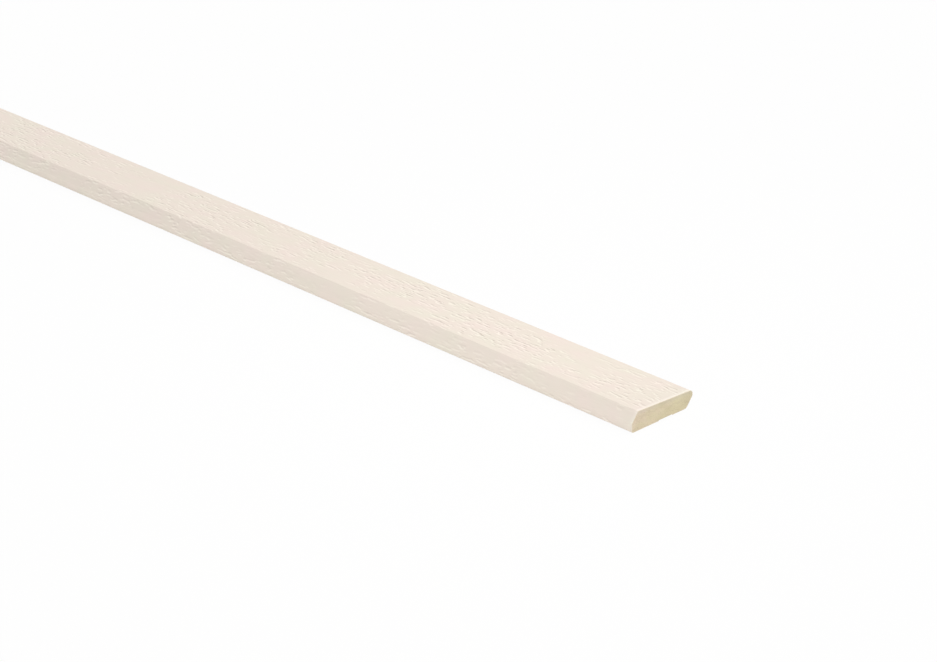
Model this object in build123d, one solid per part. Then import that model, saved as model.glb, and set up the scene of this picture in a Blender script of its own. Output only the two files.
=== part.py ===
from build123d import *

import math
import os

# Cover strip: an MDF core milled to a slanted flat section and wrapped in a printed decor foil.
# The strip lies on its back. X runs along its length, Y across it from the bevelled edge to the
# rounded tip, and Z up from the back to the face. The origin is under the middle of the strip.

# Driving dimensions, in millimetres and degrees.
length = 2400.0  # as the strip is sold
width = 22.0  # over the foil, from the bevelled edge to the tip
thickness = 5.25  # over the foil, up to where the bevel and the face would meet
foil_thickness = 0.2

land_height = 2.25  # upright land of the core, below its bevel
bevel_width = 2.0  # how far the core's bevel leans in before it meets the face
face_slope = 2.3  # how much the face falls towards the tip
undercut_angle = 37.0  # the tip's underside, measured from upright

# The core's rounded corners. The foil adds its own thickness to each of them.
tip_radius = 1.0
face_edge_radius = 0.2
land_edge_radius = 0.35
back_edge_radius = 0.4
undercut_edge_radius = 1.2

bare_back_width = 5.0  # core left uncovered between the foil's two edges, on the back
tip_side_turn = 5.0  # how far the foil is turned under the back on the tip's side

# The core is the strip less its foil on every side.
core_width = width - 2 * foil_thickness
core_thickness = thickness - 2 * foil_thickness


def core_corners():
    """The core's five sharp corners as (across, up), with its back edge under the bevel at 0, 0."""
    fall = math.tan(math.radians(face_slope))
    lean = math.radians(undercut_angle)

    # The tip's arc touches the face, the undercut and the core's full width.
    arc_across = core_width - tip_radius
    face_above_arc = core_thickness - (arc_across - bevel_width) * fall
    arc_up = face_above_arc - tip_radius / math.cos(math.radians(face_slope))

    # The undercut leans outwards as it rises from the back to the face.
    touch_across = arc_across + tip_radius * math.cos(lean)
    touch_up = arc_up - tip_radius * math.sin(lean)
    back_across = touch_across - touch_up * math.tan(lean)
    face_at_back_edge = core_thickness - (back_across - bevel_width) * fall
    tip_up = face_at_back_edge / (1 + fall * math.tan(lean))
    tip_across = back_across + tip_up * math.tan(lean)

    return {
        "bevel side of back": (0, 0),
        "top of land": (0, land_height),
        "bevel side of face": (bevel_width, core_thickness),
        "tip": (tip_across, tip_up),
        "tip side of back": (back_across, 0),
    }


def core_section():
    """The core's outline, rounded at its corners."""
    corners = core_corners()
    radii = {
        "bevel side of back": back_edge_radius,
        "top of land": land_edge_radius,
        "bevel side of face": face_edge_radius,
        "tip": tip_radius,
        "tip side of back": undercut_edge_radius,
    }
    section = make_face(Polyline(*corners.values(), close=True))
    for name, radius in radii.items():
        corner = section.vertices().sort_by_distance(corners[name])[0]
        section = fillet(corner, radius)
    return section


def foil_section(core):
    """The foil's outline: a band around the core that leaves part of the back bare."""
    back_across = core_corners()["tip side of back"][0]
    bare_centre = back_across - tip_side_turn - bare_back_width / 2
    bare = Pos(bare_centre, -foil_thickness / 2) * Rectangle(bare_back_width, foil_thickness)
    return offset(core, amount=foil_thickness, kind=Kind.ARC) - core - bare


def along_strip(section):
    """A section moved from the core's corner to the strip's middle and drawn out to the full length."""
    centred = Pos(foil_thickness - width / 2, foil_thickness) * section
    return extrude(Plane.YZ * centred, amount=length / 2, both=True)


core_outline = core_section()
pieces = {
    "mdf_core": along_strip(core_outline),
    "decor_foil": along_strip(foil_section(core_outline)),
}

os.makedirs("parts", exist_ok=True)
for node, solid in pieces.items():
    solid.label = node
    export_step(solid, f"parts/{node}.step")
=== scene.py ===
import math

import bpy
import numpy as np
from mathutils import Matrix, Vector, geometry, noise


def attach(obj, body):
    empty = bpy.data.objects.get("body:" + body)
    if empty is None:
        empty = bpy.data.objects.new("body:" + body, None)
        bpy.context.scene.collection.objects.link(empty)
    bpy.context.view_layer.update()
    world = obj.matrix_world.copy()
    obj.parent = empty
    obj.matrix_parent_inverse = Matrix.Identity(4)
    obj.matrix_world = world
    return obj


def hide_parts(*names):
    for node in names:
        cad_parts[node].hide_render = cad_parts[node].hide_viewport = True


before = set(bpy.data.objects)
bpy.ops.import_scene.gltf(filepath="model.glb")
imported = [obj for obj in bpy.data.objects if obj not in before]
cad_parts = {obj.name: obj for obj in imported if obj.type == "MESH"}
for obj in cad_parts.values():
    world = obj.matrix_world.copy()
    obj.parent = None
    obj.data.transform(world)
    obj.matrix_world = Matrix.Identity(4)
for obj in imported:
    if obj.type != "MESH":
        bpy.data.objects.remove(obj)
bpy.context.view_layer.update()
print("frame loaded with", ", ".join(sorted(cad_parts)))

mm = 0.001  # sizes in the dictionaries are in millimetres unless a note says otherwise

# the strip's section, as the core is milled and the foil is wrapped round it
strip = {
    "length": 2400.0,
    "width": 22.0,
    "thickness": 5.25,  # up to where bevel and face would meet
    "foil": 0.2,
    "landHeight": 2.25,
    "bevelWidth": 2.0,
    "faceSlope": 2.3,  # degrees
    "undercut": 37.0,  # degrees from upright
    "backRadius": 0.4,  # the core's radii, to which the foil adds its thickness
    "landRadius": 0.35,
    "faceRadius": 0.2,
    "tipRadius": 1.0,
    "undercutRadius": 1.2,
    "bareBack": 5.0,  # core left uncovered between the foil's two edges
    "tipSideTurn": 5.0,  # how far the foil is turned under the back on the tip's side
}
halfLength = strip["length"] / 2


def coreCorners():
    # sharp corners of the core as y, z and the radius that rounds them, clockwise from the back
    fall = math.tan(math.radians(strip["faceSlope"]))
    lean = math.radians(strip["undercut"])
    coreWidth = strip["width"] - 2 * strip["foil"]
    coreThickness = strip["thickness"] - 2 * strip["foil"]
    radius = strip["tipRadius"]

    # the tip's arc touches the face, the undercut and the full width
    arcAcross = coreWidth - radius
    arcUp = coreThickness - (arcAcross - strip["bevelWidth"]) * fall
    arcUp -= radius / math.cos(math.radians(strip["faceSlope"]))
    touchAcross = arcAcross + radius * math.cos(lean)
    touchUp = arcUp - radius * math.sin(lean)
    backAcross = touchAcross - touchUp * math.tan(lean)
    tipUp = coreThickness - (backAcross - strip["bevelWidth"]) * fall
    tipUp /= 1 + fall * math.tan(lean)
    tipAcross = backAcross + tipUp * math.tan(lean)

    sharpCorners = [
        (0, 0, strip["backRadius"]),
        (0, strip["landHeight"], strip["landRadius"]),
        (strip["bevelWidth"], coreThickness, strip["faceRadius"]),
        (tipAcross, tipUp, radius),
        (backAcross, 0, strip["undercutRadius"]),
    ]
    left = strip["foil"] - strip["width"] / 2
    return [(across + left, up + strip["foil"], rounding) for across, up, rounding in sharpCorners]


def runsThrough(stops, names):
    # flats and rounded corners through the stops, clockwise, so that the outside is on the left
    points = [np.array(stop[:2]) for stop in stops]
    ways = [(b - a) / np.linalg.norm(b - a) for a, b in zip(points, points[1:])]
    outs = [np.array([-way[1], way[0]]) for way in ways]
    turns = [math.acos(np.clip(a @ b, -1, 1)) for a, b in zip(ways, ways[1:])]
    cutBack = [0.0, *(stop[2] * math.tan(turn / 2) for stop, turn in zip(stops[1:], turns)), 0.0]
    runs = []
    for k, (way, out) in enumerate(zip(ways, outs)):
        start = points[k] + way * cutBack[k]
        end = points[k + 1] - way * cutBack[k + 1]
        runs.append({"name": names[2 * k], "start": start, "end": end, "out": out})
        if k < len(turns):
            radius = stops[k + 1][2]
            runs.append({
                "name": names[2 * k + 1], "centre": end - out * radius, "radius": radius,
                "angle": math.atan2(out[1], out[0]), "turn": turns[k],
            })
    return runs


def walkRuns(runs, divisions):
    # points along the runs, the outward direction at each, and the run that each step is on
    points, outs, steps = [], [], []
    for run in runs:
        count = divisions[run["name"]]
        for k in range(count + 1):
            share = k / count
            if "turn" in run:
                angle = run["angle"] - run["turn"] * share
                out = np.array([math.cos(angle), math.sin(angle)])
                point = run["centre"] + run["radius"] * out
            else:
                out = run["out"]
                point = run["start"] + (run["end"] - run["start"]) * share
            if k or not points:
                points.append(point)
                outs.append(out)
            if k:
                steps.append(run["name"])
    return np.array(points), np.array(outs), steps


def walkedTo(points):
    # how far each point lies from the first, along the line through them all
    return np.concatenate([[0], np.cumsum(np.linalg.norm(np.diff(points, axis=0), axis=1))])


corners = coreCorners()
bevelBack, faceEdge, tipBack = corners[0], corners[2], corners[4]
farEdge = (tipBack[0] - strip["tipSideTurn"], strip["foil"], 0)
nearEdge = (farEdge[0] - strip["bareBack"], strip["foil"], 0)
wrapNames = [
    "nearTurn", "backCorner", "land", "landCorner", "bevel", "faceCorner",
    "face", "tip", "undercut", "tipBackCorner", "farTurn",
]
wrap = runsThrough([nearEdge, *corners, farEdge], wrapNames)
print("section worked out in", len(wrap), "runs")


def noiseAt(a, b, size, seed):
    # from about -1 to 1, in patches of the given size
    return noise.noise(Vector((a / size[0], b / size[1], seed)))


class MeshLists:
    # what a mesh is made from: each corner of a face has a place on the baking map, in millimetres
    def __init__(self):
        self.verts, self.places = [], []
        self.values = {}
        self.faces, self.facePlaces, self.slots, self.bands = [], [], [], []

    def vert(self, x, point, place, **values):
        self.verts.append((x * mm, point[0] * mm, point[1] * mm))
        self.places.append(place)
        for name, value in values.items():
            self.values.setdefault(name, {})[len(self.verts) - 1] = value
        return len(self.verts) - 1

    def face(self, ids, band=0, slot=0, places=None):
        self.faces.append(ids)
        self.facePlaces.append(places or [self.places[k] for k in ids])
        self.slots.append(slot)
        self.bands.append(band)

    def build(self, name, toMap, sharpGroups):
        mesh = bpy.data.meshes.new(name)
        mesh.from_pydata(self.verts, [], self.faces)
        mesh.polygons.foreach_set("material_index", self.slots)
        mesh.polygons.foreach_set("use_smooth", [True] * len(self.faces))
        places = [place for facePlaces in self.facePlaces for place in facePlaces]
        counts = [len(ids) for ids in self.faces]
        layer = mesh.uv_layers.new(name="OFBake")
        layer.data.foreach_set("uv", toMap(np.array(places), np.repeat(self.bands, counts)).ravel())
        for valueName, given in self.values.items():
            whole = np.zeros(len(self.verts), np.float32)
            whole[list(given)] = list(given.values())
            mesh.attributes.new(valueName, "FLOAT", "POINT").data.foreach_set("value", whole)

        # an edge is sharp where both its ends are in one group
        ends = np.zeros(2 * len(mesh.edges), np.int32)
        mesh.edges.foreach_get("vertices", ends)
        sharp = np.zeros(len(mesh.edges), bool)
        for group in sharpGroups:
            sharp |= np.isin(ends, group).reshape(-1, 2).all(1)
        mesh.edges.foreach_set("use_edge_sharp", sharp.tolist())
        mesh.validate()
        mesh.update()
        made = bpy.data.objects.new(name, mesh)
        bpy.context.scene.collection.objects.link(made)
        return made


# decor foil: a thin skin with embossed pores, open along the back
foil = {
    "columns": 400,
    "endColumn": 1.1,  # short last column, where the saw has nibbled the edge
    "rows": {
        "nearTurn": 2, "backCorner": 4, "land": 2, "landCorner": 4, "bevel": 3, "faceCorner": 6,
        "face": 20, "tip": 10, "undercut": 3, "tipBackCorner": 3, "farTurn": 1,
    },
    "slip": (0.7, 2.4),  # how far a row's cells start before or after those of the row beside it
    "slipKept": 0.6,  # share of a slip that is left one row further on, where no pores are
    "slipEase": 2,  # columns over which the slips begin at each end
    "seed": 7,

    # pores
    "poreRuns": ("land", "bevel", "face", "undercut"),
    "poreShare": (0.12, 1.0),  # where the figure is faintest and strongest
    "poreLength": (1.6, 5.0),
    "poreWidth": (0.3, 0.55),
    "poreDepth": (0.03, 0.075),
    "poreTaper": (0.2, 0.4),  # pointed ends, as a share of the length
    "poreBottom": 1.3,  # where the bottom starts, in tapers from the pore's end
    "poreTilt": 0.6,  # how far the pointed ends lie off the middle, as a share of half the width
    # how dark a pore's bottom is made: partly print, partly painted shade in the groove
    "poreTint": (0.5, 1.0),
    "clearance": 0.07,  # between a pore and the edges of its cell

    # figure: the patches in which pores and printed strokes crowd
    "broadPatch": (13.0, 5.0),  # along the strip and around it
    "finePatch": (6.0, 1.8),
    "fineShare": 0.6,
    "figureLevel": 0.47,
    "figureGain": 1.35,
    "figureSeeds": (104.48, 1081.41),
    "sideFigure": 0.5,  # strength of the printed figure on the bevelled side
    "tipFigure": 0.15,  # and from the tip round to the back
    "quietEdge": 2.0,  # from the face's edges to where its figure is at full strength

    # sawn rim
    "rimStep": 0.22,  # between points along the rim
    "nibble": 0.05,  # how far the saw has frayed the rim
    "nibbleLength": 0.6,
    "bite": 0.25,  # how far it has torn pieces out
    "biteLength": 1.5,
    "biteLevel": 0.25,  # higher is rarer
    "fraySeeds": ((5.0, 1.7), (9.0, 4.2)),

    # baking map
    "mapBands": 4,  # lengths that the map is cut into
    "mapMargin": 3.6,
    "mapGap": 0.6,
    "mapTop": 1.0,
    "lipOnMap": 0.3,  # width that the sheet's cut edge takes
    "insideOnMap": 6.0,  # width that the hidden inside takes
}


def foilBand(column):
    return min(column * foil["mapBands"] // foil["columns"], foil["mapBands"] - 1)


def foilSlips(steps, cellLength, rng):
    # each row's cells start a little before or after its neighbour's, so that pores don't line up
    slips = np.zeros(len(steps) + 1)
    for i in range(1, len(steps)):
        slips[i] = slips[i - 1] * foil["slipKept"]
        if steps[i - 1] in foil["poreRuns"]:
            slip = rng.uniform(*foil["slip"]) * rng.choice([-1, 1])
            back = abs(slips[i - 1] + slip) > cellLength / 2
            slips[i] = slips[i - 1] + (-slip if back else slip)
    slips[-1] = 0
    return slips


def figure(x, v):
    # from 0 to 1: pores and printed strokes crowd in some patches and thin out in others
    broadSeed, fineSeed = foil["figureSeeds"]
    broad = noiseAt(x, v, foil["broadPatch"], broadSeed)
    fine = noiseAt(x, v, foil["finePatch"], fineSeed)
    level = foil["figureLevel"] + foil["figureGain"] * (broad + foil["fineShare"] * fine)
    return min(max(level, 0.0), 1.0)


def figureStrength(v, faceStart, faceEnd):
    # full on the face, quieter at its edges and past them
    offFace = foil["sideFigure"] if v < (faceStart + faceEnd) / 2 else foil["tipFigure"]
    onFace = min(max(min(v - faceStart, faceEnd - v) / foil["quietEdge"], 0.0), 1.0)
    return offFace + (1 - offFace) * onFace


def poreHere(x, v, rng):
    low, high = foil["poreShare"]
    return rng.random() < low + (high - low) * figure(x, v)


def addPore(lists, cell, row, band, rng):
    # a lens-shaped groove in a four-cornered cell: six rim points and two along its bottom
    a, b, c, d = cell
    ax, bx, cx, dx = (lists.places[k][0] for k in cell)
    width = row["width"]
    room = width / 2 - foil["clearance"]
    wide = min(rng.uniform(*foil["poreWidth"]) / 2, room)
    middle = width / 2 + rng.uniform(-1, 1) * (room - wide)
    low, high = middle - wide, middle + wide
    shares = (low / width, high / width)
    left = max(ax + (dx - ax) * share for share in shares) + 2 * foil["clearance"]
    right = min(bx + (cx - bx) * share for share in shares) - 2 * foil["clearance"]
    reach = min(rng.uniform(*foil["poreLength"]), right - left)
    start = left + rng.random() * (right - left - reach)
    end = start + reach
    taper = reach * rng.uniform(*foil["poreTaper"])
    deep = rng.uniform(*foil["poreDepth"])
    # darkness of the pore's bottom: partly print, partly painted shade in the groove
    tint = rng.uniform(*foil["poreTint"])
    tilts = rng.uniform(-foil["poreTilt"], foil["poreTilt"], 2) * wide
    inset = foil["poreBottom"] * taper

    def at(x, across, depth=0.0, **values):
        point = row["start"] + row["way"] * across - row["out"] * depth
        return lists.vert(x, point, (x, row["around"] + across), **values)

    leftTip = at(start, middle + tilts[0], rim=1.0)
    rightTip = at(end, middle + tilts[1], rim=1.0)
    lowLeft = at(start + taper, low, rim=1.0)
    lowRight = at(end - taper, low, rim=1.0)
    highLeft = at(start + taper, high, rim=1.0)
    highRight = at(end - taper, high, rim=1.0)
    deepLeft = at(start + inset, middle, deep, poreDepth=tint)
    deepRight = at(end - inset, middle, deep, poreDepth=tint)
    collar = [
        (a, b, lowRight, lowLeft), (b, rightTip, lowRight), (b, c, rightTip), (c, highRight, rightTip),
        (c, d, highLeft, highRight), (d, leftTip, highLeft), (d, a, leftTip), (a, lowLeft, leftTip),
    ]
    walls = [
        (leftTip, lowLeft, deepLeft), (lowLeft, lowRight, deepRight, deepLeft),
        (lowRight, rightTip, deepRight), (rightTip, highRight, deepRight),
        (highRight, highLeft, deepLeft, deepRight), (highLeft, leftTip, deepLeft),
    ]
    for ids in collar + walls:
        lists.face(ids, band)


def addOutside(lists, sheet, rng):
    # the printed side: rows of cells, many of them with a pore
    outer, around, stations = sheet["outer"], sheet["around"], sheet["stations"]
    slips = foilSlips(sheet["steps"], stations[1] - stations[0], rng)
    column = np.arange(len(stations))
    ease = np.clip(np.minimum(column, column[::-1]) / foil["slipEase"], 0, 1)
    grid = []
    for i, point in enumerate(outer):
        grid.append([lists.vert(x, point, (x, around[i])) for x in stations + slips[i] * ease])
    pores = 0
    for i, step in enumerate(sheet["steps"]):
        width = around[i + 1] - around[i]
        row = {
            "start": outer[i], "way": (outer[i + 1] - outer[i]) / width, "out": sheet["outs"][i],
            "around": around[i], "width": width,
        }
        for j in range(len(stations) - 1):
            ids = (grid[i][j], grid[i][j + 1], grid[i + 1][j + 1], grid[i + 1][j])
            if step in foil["poreRuns"] and poreHere(stations[j] + slips[i], around[i], rng):
                addPore(lists, ids, row, foilBand(j), rng)
                pores += 1
            else:
                lists.face(ids, foilBand(j))
    sheet["grid"] = grid
    return pores


def addInside(lists, sheet):
    # the glued side follows the core, with fewer rows
    inner, steps, stations = sheet["inner"], sheet["steps"], sheet["stations"]
    keep = [0]
    for i in range(1, len(inner)):
        cornerRow = steps[i - 1] not in foil["poreRuns"] and i % 2
        if i == len(inner) - 1 or steps[i] != steps[i - 1] or cornerRow:
            keep.append(i)
    mapStart = sheet["around"][-1] + foil["mapGap"]
    insideV = mapStart + np.linspace(0, 1, len(keep))[::-1] * foil["insideOnMap"]
    grid = []
    for i, v in zip(keep, insideV):
        grid.append([lists.vert(x, inner[i], (x, v)) for x in stations])
    for near, far in zip(grid, grid[1:]):
        for j in range(len(stations) - 1):
            lists.face((near[j], far[j], far[j + 1], near[j + 1]), foilBand(j))
    sheet["insideRows"], sheet["insideV"], sheet["insideGrid"] = keep, insideV, grid


def lipPlaces(v, xs, flip):
    # on the map, a cut edge of the sheet is a narrow band beside the printed side
    lipV = v - foil["lipOnMap"] * flip
    return [(xs[0], v), (xs[0], lipV), (xs[1], lipV), (xs[1], v)]


def addLips(lists, sheet):
    # the sheet's two long cut edges, on the back
    stations = sheet["stations"]
    for row, flip in ((0, 1), (-1, -1)):
        edge, inside = sheet["grid"][row], sheet["insideGrid"][row]
        for j in range(len(stations) - 1):
            ids = (edge[j], inside[j], inside[j + 1], edge[j + 1])
            places = lipPlaces(sheet["around"][row], stations[j:j + 2], flip)
            lists.face(ids[::flip], foilBand(j), 0, places[::flip])


def rimFray(v, side):
    # how far the sawn rim falls short of the strip's end
    (nibbleShift, nibbleSeed), (biteShift, biteSeed) = foil["fraySeeds"]
    nibbled = noise.noise(Vector((v / foil["nibbleLength"], side * nibbleShift, nibbleSeed)))
    bitten = noise.noise(Vector((v / foil["biteLength"], side * biteShift, biteSeed)))
    return foil["nibble"] * (0.5 + 0.5 * nibbled) + foil["bite"] * max(0.0, bitten - foil["biteLevel"])


def addRim(lists, sheet, side):
    # the sawn rim's frayed outer and clean inner points, and where each row starts among them
    outer, inner, around = sheet["outer"], sheet["inner"], sheet["around"]
    innerOnMap = side * (halfLength + foil["mapMargin"] - foil["mapGap"])
    last = len(outer) - 1
    rimOut, rimIn, rowStart = [], [], []
    for i in range(len(outer)):
        follow = min(i + 1, last)
        count = max(1, round((around[follow] - around[i]) / foil["rimStep"]))
        rubbed = max(0.0, sheet["outs"][i][1]) ** 2  # painted highlight: the rim is paler where it faces up, as where light from above falls on it
        rowStart.append(len(rimOut))
        for k in range(count):
            share = k / count
            v = around[i] + (around[follow] - around[i]) * share
            outPoint = outer[i] + (outer[follow] - outer[i]) * share
            inPoint = inner[i] + (inner[follow] - inner[i]) * share
            x = side * (halfLength - rimFray(v, side))
            rimOut.append(lists.vert(x, outPoint, (side * halfLength, v), rim=1.0, rubbed=rubbed))
            rimIn.append(lists.vert(side * halfLength, inPoint, (innerOnMap, v), rim=1.0))
    return rimOut, rimIn, rowStart


def addFoilEnd(lists, sheet, side):
    # one sawn end: the last short column outside, the cut face, the last column inside, and the lips
    grid, insideGrid, insideV, keep = (sheet[k] for k in ("grid", "insideGrid", "insideV", "insideRows"))
    rimOut, rimIn, rowStart = addRim(lists, sheet, side)
    band = foilBand(0 if side < 0 else foil["columns"])
    column = 0 if side < 0 else -1

    for i in range(len(grid) - 1):
        between = rimOut[rowStart[i]:rowStart[i + 1] + 1]
        lists.face((grid[i][column], *between, grid[i + 1][column])[::side], band)
    for k in range(len(rimOut) - 1):
        lists.face((rimOut[k], rimIn[k], rimIn[k + 1], rimOut[k + 1])[::side], band, 1)
    for n in range(len(keep) - 1):
        between = rimIn[rowStart[keep[n]]:rowStart[keep[n + 1]] + 1]
        ids = (insideGrid[n][column], *between, insideGrid[n + 1][column])
        ends = [(side * halfLength, v) for v in np.linspace(insideV[n], insideV[n + 1], len(between))]
        places = [lists.places[ids[0]], *ends, lists.places[ids[-1]]]
        lists.face(ids[::-side], band, 0, places[::-side])
    for row, flip in ((0, 1), (-1, -1)):
        ids = (grid[row][column], insideGrid[row][column], rimIn[row], rimOut[row])
        x, v = lists.places[ids[0]]
        places = lipPlaces(v, (x, side * halfLength), flip)
        lists.face(ids[::flip * side], band, 0, places[::flip * side])


def buildFoil():
    rng = np.random.default_rng(foil["seed"])
    inner, outs, steps = walkRuns(wrap, foil["rows"])
    outer = inner + outs * strip["foil"]
    around = walkedTo(outer)
    lastStation = halfLength - foil["endColumn"]
    stations = np.linspace(-lastStation, lastStation, foil["columns"] - 1)
    sheet = {
        "inner": inner, "outer": outer, "outs": outs, "steps": steps, "around": around, "stations": stations,
    }
    lists = MeshLists()
    pores = addOutside(lists, sheet, rng)
    addInside(lists, sheet)
    addLips(lists, sheet)
    for side in (-1, 1):
        addFoilEnd(lists, sheet, side)

    faceStart = around[steps.index("face")]
    faceEnd = around[steps.index("tip")]
    lists.values["around"] = {k: v for k, (x, v) in enumerate(lists.places)}
    lists.values["figure"] = {
        k: figure(x, v) * figureStrength(v, faceStart, faceEnd) for k, (x, v) in enumerate(lists.places)
    }

    bandLength = strip["length"] / foil["mapBands"]
    lowV, highV = -foil["mapGap"], around[-1] + foil["mapTop"] + foil["insideOnMap"]

    def toMap(places, bands):
        # the sheet lies flat, cut into lengths one above the other, with its inside beside it
        fromStart = places[:, 0] + halfLength - bands * bandLength
        u = (fromStart + foil["mapMargin"]) / (bandLength + 2 * foil["mapMargin"])
        v = (bands + (places[:, 1] - lowV) / (highV - lowV)) / foil["mapBands"]
        return np.stack([u, v], 1)

    rims = list(lists.values.pop("rim"))
    grid, insideGrid = sheet["grid"], sheet["insideGrid"]
    lips = grid[0] + grid[-1] + insideGrid[0] + insideGrid[-1]
    made = lists.build("decorFoil", toMap, [rims, lips])
    print("foil built:", pores, "pores,", len(lists.faces), "faces")
    return made


decorFoil = buildFoil()
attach(decorFoil, "root")
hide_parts("decor_foil")


# MDF core: sawn across at both ends, planed along its bare back
core = {
    "rows": {
        "nearBack": 34, "backCorner": 3, "land": 7, "landCorner": 4, "bevel": 9, "faceCorner": 5,
        "face": 64, "tip": 10, "undercut": 12, "tipBackCorner": 3, "farBack": 34,
    },
    "stations": 25,
    "seed": 11,

    # sawn ends
    "endStep": 0.27,  # between points on the ends
    "endScatter": 0.3,  # how far those points stray, as a share of the step
    "endClear": 0.45,  # how far they keep from the edge, as a share of the step
    "recess": 0.03,  # how far the ends lie behind the foil's rim
    "score": 0.03,  # depth of the saw's score marks
    "scorePitch": 0.9,
    "scoreLean": 0.22,
    "wobbleSize": (3.0, 2.0),
    "wobbleSeed": 3.0,
    "fuzz": 0.035,  # torn fibres
    "fuzzSize": (0.5, 0.3),
    "fuzzSeed": 7.0,
    "samePoint": 1e-6,

    # baking map, with its shares of the map
    "mapBands": 4,
    "bandFill": 0.98,
    "bandMargin": 0.002,
    "endOnMap": 0.13,  # height that the two ends take
    "endFill": 0.95,
    "endMargin": 0.0025,
}


def sawnDepth(y, z, side):
    wobble = noiseAt(y, z, core["wobbleSize"], side * core["wobbleSeed"])
    score = math.sin(2 * math.pi * ((y + core["scoreLean"] * z) / core["scorePitch"] + wobble))
    torn = noiseAt(y, z, core["fuzzSize"], side * core["fuzzSeed"])
    return core["recess"] + core["score"] * (0.5 + 0.5 * score) + core["fuzz"] * max(0.0, torn)


def scatterInside(ring, rng):
    # points scattered inside the ring, kept clear of its edge
    low, high = ring.min(0), ring.max(0)
    step, stray = core["endStep"], core["endScatter"]
    following = np.roll(ring, -1, axis=0)
    edge = following - ring
    rise = np.where(edge[:, 1] == 0, 1, edge[:, 1])  # a level edge is never crossed
    inside = []
    for y in np.arange(low[0] + step, high[0], step):
        for z in np.arange(low[1] + step, high[1], step):
            point = np.array([y, z]) + rng.uniform(-stray, stray, 2) * step
            share = np.clip(((point - ring) * edge).sum(1) / (edge * edge).sum(1), 0, 1)
            gap = np.linalg.norm(ring + edge * share[:, None] - point, axis=1).min()
            crosses = (ring[:, 1] > point[1]) != (following[:, 1] > point[1])
            meets = ring[:, 0] + (point[1] - ring[:, 1]) / rise * edge[:, 0]
            within = np.count_nonzero(crosses & (meets > point[0])) % 2
            if within and gap > core["endClear"] * step:
                inside.append(point)
    return np.array(inside)


def addSawnEnd(lists, ring, ringIds, side, rng):
    inside = scatterInside(ring, rng)
    flat = [Vector(point) for point in (*ring, *inside)]
    outline = list(range(len(ring)))
    found = geometry.delaunay_2d_cdt(flat, [], [outline], 1, core["samePoint"])
    triangles, sources = found[2], [source[0] for source in found[3]]
    ids = list(ringIds)
    for y, z in inside:
        ids.append(lists.vert(side * (halfLength - sawnDepth(y, z, side)), (y, z), (y, z)))
    band = core["mapBands"] + (side > 0)
    for triangle in triangles:
        picked = [sources[k] for k in triangle][::side]
        lists.face(tuple(ids[k] for k in picked), band, 0, [tuple(flat[k]) for k in picked])


def buildCore():
    rng = np.random.default_rng(core["seed"])
    backMiddle = ((bevelBack[0] + tipBack[0]) / 2, strip["foil"], 0)
    names = ["nearBack", *wrapNames[1:-1], "farBack"]
    points = walkRuns(runsThrough([backMiddle, *corners, backMiddle], names), core["rows"])[0]
    around = walkedTo(points)
    ring = points[:-1]
    count = len(ring)
    stations = np.linspace(-halfLength + core["recess"], halfLength - core["recess"], core["stations"])

    lists = MeshLists()
    rings = [[lists.vert(x, point, (x, 0)) for point in ring] for x in stations]
    for j in range(len(stations) - 1):
        x0, x1 = stations[j:j + 2]
        band = j * core["mapBands"] // (len(stations) - 1)
        for k in range(count):
            n = (k + 1) % count
            ids = (rings[j][k], rings[j + 1][k], rings[j + 1][n], rings[j][n])
            places = [(x0, around[k]), (x1, around[k]), (x1, around[k + 1]), (x0, around[k + 1])]
            lists.face(ids, band, 0, places)
    addSawnEnd(lists, ring, rings[0], -1, rng)
    addSawnEnd(lists, ring, rings[-1], 1, rng)

    bandLength = strip["length"] / core["mapBands"]
    bandMargin, endMargin, endHeight = core["bandMargin"], core["endMargin"], core["endOnMap"]

    def toMap(places, bands):
        # the sides are cut into lengths one above the other, with the two ends side by side below them
        onEnd = bands >= core["mapBands"]
        sideU = (places[:, 0] + halfLength - bands * bandLength) / bandLength
        sideV = (bands + core["bandFill"] * places[:, 1] / around[-1]) / core["mapBands"]
        endU = places[:, 0] / strip["width"] + 0.5 + bands - core["mapBands"]
        endV = places[:, 1] / strip["thickness"] * core["endFill"]
        sideU = sideU * (1 - 2 * bandMargin) + bandMargin
        endU = endU * (0.5 - 2 * endMargin) + endMargin
        u = np.where(onEnd, endU, sideU)
        v = np.where(onEnd, endV * endHeight, endHeight + (1 - endHeight) * sideV)
        return np.stack([u, v], 1)

    made = lists.build("mdfCore", toMap, [rings[0] + rings[-1]])
    print("core built:", len(lists.faces), "faces")
    return made


mdfCore = buildCore()
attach(mdfCore, "root")
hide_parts("mdf_core")


def addNode(tree, kind, inputs, **settings):
    # inputs are values to set or sockets to link
    made = tree.nodes.new(kind)
    for name, value in settings.items():
        setattr(made, name, value)
    for name, value in inputs.items():
        if isinstance(value, bpy.types.NodeSocket):
            tree.links.new(value, made.inputs[name])
        else:
            made.inputs[name].default_value = value
    return made


def maths(tree, operation, a, b):
    return addNode(tree, "ShaderNodeMath", {0: a, 1: b}, operation=operation).outputs[0]


def ramp(tree, value, stops):
    made = addNode(tree, "ShaderNodeValToRGB", {"Fac": value})
    made.color_ramp.elements.remove(made.color_ramp.elements[1])
    for k, (place, colour) in enumerate(stops):
        stop = made.color_ramp.elements[0] if k == 0 else made.color_ramp.elements.new(place)
        stop.position = place
        stop.color = (*colour, 1)
    return made.outputs["Color"]


def spread(tree, value, low, high, newLow=0.0, newHigh=1.0):
    inputs = {"Value": value, "From Min": low, "From Max": high, "To Min": newLow, "To Max": newHigh}
    return addNode(tree, "ShaderNodeMapRange", inputs).outputs["Result"]


noiseRoughness = 0.55  # how strong a noise's finer detail is
usualNoise = (0.3, 0.7)  # between which most of a noise's values lie


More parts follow.
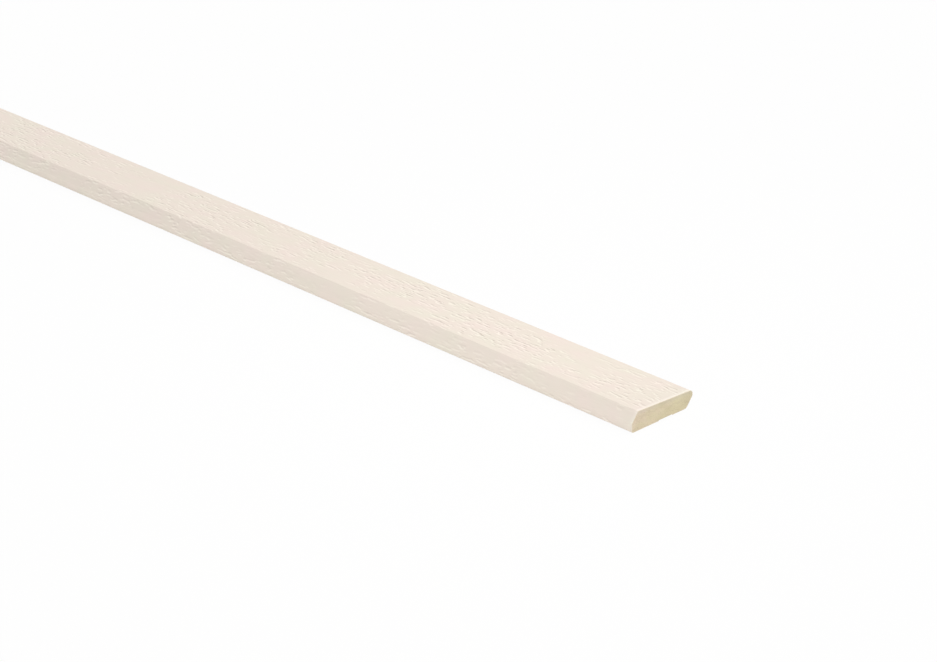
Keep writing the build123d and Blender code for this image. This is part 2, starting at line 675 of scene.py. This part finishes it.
def makeStretchedNoise():
    # noise whose features have the given size in three directions, with places and sizes in millimetres
    tree = bpy.data.node_groups.new("stretchedNoise", "ShaderNodeTree")
    tree.interface.new_socket("Place", in_out="INPUT", socket_type="NodeSocketVector")
    tree.interface.new_socket("Size", in_out="INPUT", socket_type="NodeSocketVector")
    tree.interface.new_socket("Shift", in_out="INPUT", socket_type="NodeSocketFloat")
    tree.interface.new_socket("Detail", in_out="INPUT", socket_type="NodeSocketFloat")
    tree.interface.new_socket("Value", in_out="OUTPUT", socket_type="NodeSocketFloat")
    given = tree.nodes.new("NodeGroupInput").outputs
    sizes = {0: given["Place"], 1: given["Size"]}
    stretched = addNode(tree, "ShaderNodeVectorMath", sizes, operation="DIVIDE").outputs[0]
    inputs = {
        "Vector": stretched, "W": given["Shift"], "Scale": 1.0,
        "Detail": given["Detail"], "Roughness": noiseRoughness,
    }
    pattern = addNode(tree, "ShaderNodeTexNoise", inputs, noise_dimensions="4D")
    out = tree.nodes.new("NodeGroupOutput")
    tree.links.new(pattern.outputs["Fac"], out.inputs["Value"])
    return tree


stretchedNoise = makeStretchedNoise()


def noiseValue(tree, place, pattern):
    # a pattern is its size, its shift, which picks one noise out of many, and its detail
    size, shift, detail = pattern
    inputs = {"Place": place, "Size": size, "Shift": shift, "Detail": detail}
    return addNode(tree, "ShaderNodeGroup", inputs, node_tree=stretchedNoise).outputs["Value"]


def attribute(tree, name):
    return addNode(tree, "ShaderNodeAttribute", {}, attribute_name=name).outputs["Fac"]


def placeInMm(tree):
    where = tree.nodes.new("ShaderNodeTexCoord").outputs["Object"]
    return addNode(tree, "ShaderNodeVectorMath", {0: where, "Scale": 1 / mm}, operation="SCALE").outputs[0]


def newMaterial(name):
    made = bpy.data.materials.new(name)
    made.use_nodes = True
    shader = made.node_tree.nodes["Principled BSDF"]
    return made, made.node_tree, shader


def tinted(tree, colour, factor, stops):
    # colour times a tint that follows the stops
    inputs = {0: 1.0, 6: colour, 7: ramp(tree, factor, stops)}  # the mix's factor and its two colours
    return addNode(tree, "ShaderNodeMix", inputs, data_type="RGBA", blend_type="MULTIPLY").outputs[2]


def addBump(tree, shader, height, depth):
    bump = addNode(tree, "ShaderNodeBump", {"Height": height, "Strength": 1.0, "Distance": depth * mm})
    tree.links.new(bump.outputs["Normal"], shader.inputs["Normal"])


# print on the foil, with painted shade and highlights in its strokes, pores and sawn rim: colours are
# linear, and a tone goes from 0, dark, over 0.5 to 1, light
foilPrint = {
    "colours": [(0.0, (0.6, 0.525, 0.45)), (0.5, (0.893, 0.805, 0.725)), (1.0, (0.995, 0.92, 0.835))],
    "tints": [(0.0, (1.004, 0.974, 0.977)), (1.0, (0.974, 1.001, 0.96))],  # from warm clouds to cool ones
    "bands": ((110, 1.9, 1), 1.0, 2.0),
    "streaks": ((7, 0.34, 1), 2.0, 1.0),
    "strokes": ((3.2, 0.65, 1), 3.0, 1.0),
    "clouds": ((10, 7, 1), 8.0, 1.0),
    "bandTone": (0.48, 0.52),
    "streakTone": (-0.012, 0.012),
    "highlightOffset": (0, 0.48, 0),  # from a dark stroke to the painted highlight beside it
    # dark strokes are print and partly painted shade in the pressed grooves; the light ones beside them are
    # painted highlights
    "darkLevel": (0.565, 0.63),  # of the noise, where a stroke begins and where it is full
    "highlightLevel": (0.555, 0.62),
    "darkTone": -0.34,
    "highlightTone": 1.3,
    "poreTone": 0.06,
    # how far the painted highlight on the upward-facing rim lightens the print
    "rubbedTone": 0.7,
    "roughness": (0.5, 0.42),
    "specular": 0.3,
    "strokeHeight": -1.5,  # beside the streaks' height of 1
    "bumpDepth": 0.012,
}


def makeDecorPrint():
    made, tree, shader = newMaterial("decorPrint")
    # the print is laid out on the flat sheet: along the strip and around its section
    along = addNode(tree, "ShaderNodeSeparateXYZ", {0: placeInMm(tree)}).outputs["X"]
    sheet = addNode(tree, "ShaderNodeCombineXYZ", {0: along, 1: attribute(tree, "around")}).outputs[0]
    aside = {0: sheet, 1: foilPrint["highlightOffset"]}
    beside = addNode(tree, "ShaderNodeVectorMath", aside, operation="ADD").outputs[0]
    bands = noiseValue(tree, sheet, foilPrint["bands"])
    streaks = noiseValue(tree, sheet, foilPrint["streaks"])
    clouds = noiseValue(tree, sheet, foilPrint["clouds"])
    crowd = attribute(tree, "figure")
    pore = attribute(tree, "poreDepth")
    # painted highlight along the sawn rim, paler where it faces up
    rubbed = attribute(tree, "rubbed")

    # each dark stroke is print that also stands in for the shade in its pressed groove, and has a painted
    # highlight beside it on the groove's lit edge; where two overlap they cancel out
    pressed = spread(tree, noiseValue(tree, sheet, foilPrint["strokes"]), *foilPrint["darkLevel"])
    strokeHighlight = spread(tree, noiseValue(tree, beside, foilPrint["strokes"]), *foilPrint["highlightLevel"])
    stroke = maths(tree, "SUBTRACT", strokeHighlight, pressed)
    dark = spread(tree, stroke, -1.0, 0.0, foilPrint["darkTone"], 0.0)
    light = spread(tree, stroke, 0.0, 1.0, 0.0, foilPrint["highlightTone"])
    strokes = maths(tree, "MULTIPLY", maths(tree, "ADD", dark, light), crowd)

    tone = spread(tree, bands, *usualNoise, *foilPrint["bandTone"])
    tone = maths(tree, "ADD", tone, spread(tree, streaks, *usualNoise, *foilPrint["streakTone"]))
    tone = maths(tree, "ADD", tone, strokes)
    # pores: darker along their bottoms, partly print and partly painted shade in the grooves
    tone = maths(tree, "SUBTRACT", tone, spread(tree, pore, 0.0, 1.0, 0.0, foilPrint["poreTone"]))
    # painted highlight: lighter along the rim where it faces up
    tone = maths(tree, "ADD", tone, spread(tree, rubbed, 0.0, 1.0, 0.0, foilPrint["rubbedTone"]))
    colour = ramp(tree, tone, foilPrint["colours"])
    colour = tinted(tree, colour, spread(tree, clouds, *usualNoise), foilPrint["tints"])
    tree.links.new(colour, shader.inputs["Base Color"])

    roughness = spread(tree, streaks, *usualNoise, *foilPrint["roughness"])
    tree.links.new(roughness, shader.inputs["Roughness"])
    shader.inputs["Specular IOR Level"].default_value = foilPrint["specular"]
    sunk = spread(tree, pressed, 0.0, 1.0, 0.0, foilPrint["strokeHeight"])
    height = maths(tree, "ADD", streaks, maths(tree, "MULTIPLY", sunk, crowd))
    addBump(tree, shader, height, foilPrint["bumpDepth"])
    return made


# the foil's sawn rim
rim = {
    "colours": [(0.25, (0.7626, 0.6789, 0.5208)), (0.75, (0.8446, 0.7519, 0.5768))],
    "fray": ((0.3, 0.5, 0.3), 4.0, 2.0),
    "roughness": 0.75,
}


def makeFoilRim():
    made, tree, shader = newMaterial("foilRim")
    fray = noiseValue(tree, placeInMm(tree), rim["fray"])
    tree.links.new(ramp(tree, fray, rim["colours"]), shader.inputs["Base Color"])
    shader.inputs["Roughness"].default_value = rim["roughness"]
    return made


# the board, with tones from 0, dark, over 0.5 to 1, light
board = {
    "colours": [(0.0, (0.52, 0.42, 0.27)), (0.5, (0.777, 0.676, 0.493)), (1.0, (0.86, 0.77, 0.56))],
    "tints": [  # pinker towards the bevel, yellower towards the tip, and darker at the tip itself
        (0.0, (1.01, 0.99, 1.025)), (0.65, (0.953, 0.978, 0.908)),
        (0.85, (0.953, 0.978, 0.908)), (1.0, (0.905, 0.92, 0.86)),
    ],
    "skinTints": [(0.0, (1.0, 1.0, 1.0)), (1.0, (0.94, 0.95, 1.03))],
    "skin": (1.1, 0.1),  # below the face, where the pressed skin begins and where it is full
    "clouds": ((9, 5, 2.4), 5.0, 1.0),
    "warmth": ((9, 4, 2), 9.0, 1.0),
    "fibres": ((0.5, 0.9, 0.17), 6.0, 3.0),
    "specks": ((0.22, 0.3, 0.2), 7.0, 0.0),
    "cloudTone": (0.38, 0.62),
    "fibreLevel": (0.25, 0.75),
    "fibreTone": (-0.2, 0.2),
    "speckLevel": (0.66, 0.78),
    "speckTone": 0.3,
    "warmthShift": (-0.25, 0.25),
    "roughness": 0.85,
    "bumpDepth": 0.03,
}


def makeSawnMdf():
    made, tree, shader = newMaterial("sawnMdf")
    place = placeInMm(tree)
    apart = addNode(tree, "ShaderNodeSeparateXYZ", {0: place}).outputs
    across, up = apart["Y"], apart["Z"]
    clouds = noiseValue(tree, place, board["clouds"])
    warmth = noiseValue(tree, place, board["warmth"])
    fibres = noiseValue(tree, place, board["fibres"])
    specks = noiseValue(tree, place, board["specks"])
    tone = spread(tree, clouds, *usualNoise, *board["cloudTone"])
    tone = maths(tree, "ADD", tone, spread(tree, fibres, *board["fibreLevel"], *board["fibreTone"]))
    tone = maths(tree, "SUBTRACT", tone, spread(tree, specks, *board["speckLevel"], 0.0, board["speckTone"]))
    colour = ramp(tree, tone, board["colours"])

    halfWidth = strip["width"] / 2
    shift = spread(tree, warmth, *usualNoise, *board["warmthShift"])
    share = maths(tree, "ADD", shift, spread(tree, across, -halfWidth, halfWidth))
    colour = tinted(tree, colour, share, board["tints"])

    # the pressed skin of the board, under the face, is denser and greyer
    fall = math.tan(math.radians(strip["faceSlope"]))
    faceLevel = faceEdge[1] + faceEdge[0] * fall
    level = maths(tree, "ADD", up, maths(tree, "MULTIPLY", across, fall))
    skinStart, skinFull = board["skin"]
    skin = spread(tree, level, faceLevel - skinStart, faceLevel - skinFull)
    colour = tinted(tree, colour, skin, board["skinTints"])
    tree.links.new(colour, shader.inputs["Base Color"])
    shader.inputs["Roughness"].default_value = board["roughness"]
    addBump(tree, shader, fibres, board["bumpDepth"])
    return made


decorFoil.data.materials.append(makeDecorPrint())
decorFoil.data.materials.append(makeFoilRim())
mdfCore.data.materials.append(makeSawnMdf())
print("materials made:", ", ".join(m.name for m in bpy.data.materials if m.users and m.node_tree))


# studio: pale floor, white surroundings, two wide soft lamps and a weak spot
studio = {
    "floorSize": 30.0,  # metres
    "floorDrop": 0.02,
    "floorColour": (0.97, 0.97, 0.97, 1),
    "floorGlow": 0.93,  # how far the camera sees the floor as plain white
    "surroundings": 0.615,
    "lamps": {
        # where from, strength, degrees across as seen from the strip, and colour
        "softLamp": ((0.1, 0.68, 1.0), 0.96, 50.0, (1.04, 1.0, 0.96)),
        "fillLamp": ((0.4, -1.0, 0.1), 0.6, 60.0, (1.0, 1.0, 1.02)),
    },
    "endSpot": {  # lights the near end a little more than the rest
        "towards": (0.35, -0.3, 0.85),
        "aim": (1160.0, 0.0, 3.0),
        "distance": 900.0,
        "power": 4.5,  # watts
        "across": 19.0,  # degrees
        "radius": 100.0,
    },
}
white = (1, 1, 1, 1)


def seenDirectly(tree):
    # 1 for what the camera sees, also in a reflection or through glass
    path = tree.nodes.new("ShaderNodeLightPath").outputs
    either = maths(tree, "MAXIMUM", path["Is Camera Ray"], path["Is Glossy Ray"])
    return maths(tree, "MAXIMUM", either, path["Is Transmission Ray"])


def layFloor():
    reach = studio["floorSize"] / 2
    low = -studio["floorDrop"] * mm
    mesh = bpy.data.meshes.new("floor")
    square = [(-reach, -reach, low), (reach, -reach, low), (reach, reach, low), (-reach, reach, low)]
    mesh.from_pydata(square, [], [(0, 1, 2, 3)])
    floor = bpy.data.objects.new("floor", mesh)
    bpy.context.scene.collection.objects.link(floor)
    paint, tree, shader = newMaterial("floorPaint")
    shader.inputs["Base Color"].default_value = studio["floorColour"]
    shader.inputs["Roughness"].default_value = 1.0
    shader.inputs["Specular IOR Level"].default_value = 0.0
    glow = addNode(tree, "ShaderNodeEmission", {"Color": white, "Strength": 1.0})
    share = maths(tree, "MULTIPLY", seenDirectly(tree), studio["floorGlow"])
    mixed = addNode(tree, "ShaderNodeMixShader", {0: share, 1: shader.outputs[0], 2: glow.outputs[0]})
    tree.links.new(mixed.outputs[0], tree.nodes["Material Output"].inputs["Surface"])
    mesh.materials.append(paint)


def setSurroundings():
    world = bpy.data.worlds.new("surroundings")
    bpy.context.scene.world = world
    world.use_nodes = True
    tree = world.node_tree
    strength = spread(tree, seenDirectly(tree), 0.0, 1.0, studio["surroundings"], 1.0)
    background = tree.nodes["Background"]
    background.inputs["Color"].default_value = white
    tree.links.new(strength, background.inputs["Strength"])


def hangLamp(name, kind, towards, strength):
    lamp = bpy.data.lights.new(name, kind)
    lamp.energy = strength
    hung = bpy.data.objects.new(name, lamp)
    hung.rotation_euler = towards.to_track_quat("Z", "Y").to_euler()
    bpy.context.scene.collection.objects.link(hung)
    return hung


def hangLamps():
    for name, (towards, strength, across, colour) in studio["lamps"].items():
        lamp = hangLamp(name, "SUN", Vector(towards), strength).data
        lamp.color = colour
        lamp.angle = math.radians(across)

    spot = studio["endSpot"]
    towards = Vector(spot["towards"]).normalized()
    hung = hangLamp("endSpot", "SPOT", towards, spot["power"])
    hung.location = (Vector(spot["aim"]) + towards * spot["distance"]) * mm
    hung.visible_camera = False
    hung.data.spot_size = math.radians(spot["across"])
    hung.data.spot_blend = 1.0
    hung.data.shadow_soft_size = spot["radius"] * mm


# camera, with its angles in degrees around the strip and above it
view = {
    "azimuth": 45.898,
    "elevation": 24.071,
    "aim": (1165.39, -32.05, 22.42),
    "distance": 597.9,
    "lens": 95.6,
    "sensor": 36.0,
    "nearest": 10.0,
}


def setCamera():
    azimuth, elevation = math.radians(view["azimuth"]), math.radians(view["elevation"])
    level = math.cos(elevation)
    back = Vector((math.sin(azimuth) * level, -math.cos(azimuth) * level, math.sin(elevation)))
    lens = bpy.data.cameras.new("camera")
    lens.lens = view["lens"]
    lens.sensor_width = view["sensor"]
    lens.clip_start = view["nearest"] * mm
    camera = bpy.data.objects.new("camera", lens)
    camera.location = (Vector(view["aim"]) + back * view["distance"]) * mm
    camera.rotation_euler = (-back).to_track_quat("-Z", "Y").to_euler()
    bpy.context.scene.collection.objects.link(camera)
    bpy.context.scene.camera = camera


layFloor()
setSurroundings()
hangLamps()
setCamera()
bpy.context.scene.view_settings.view_transform = "Standard"
print("studio and camera set")
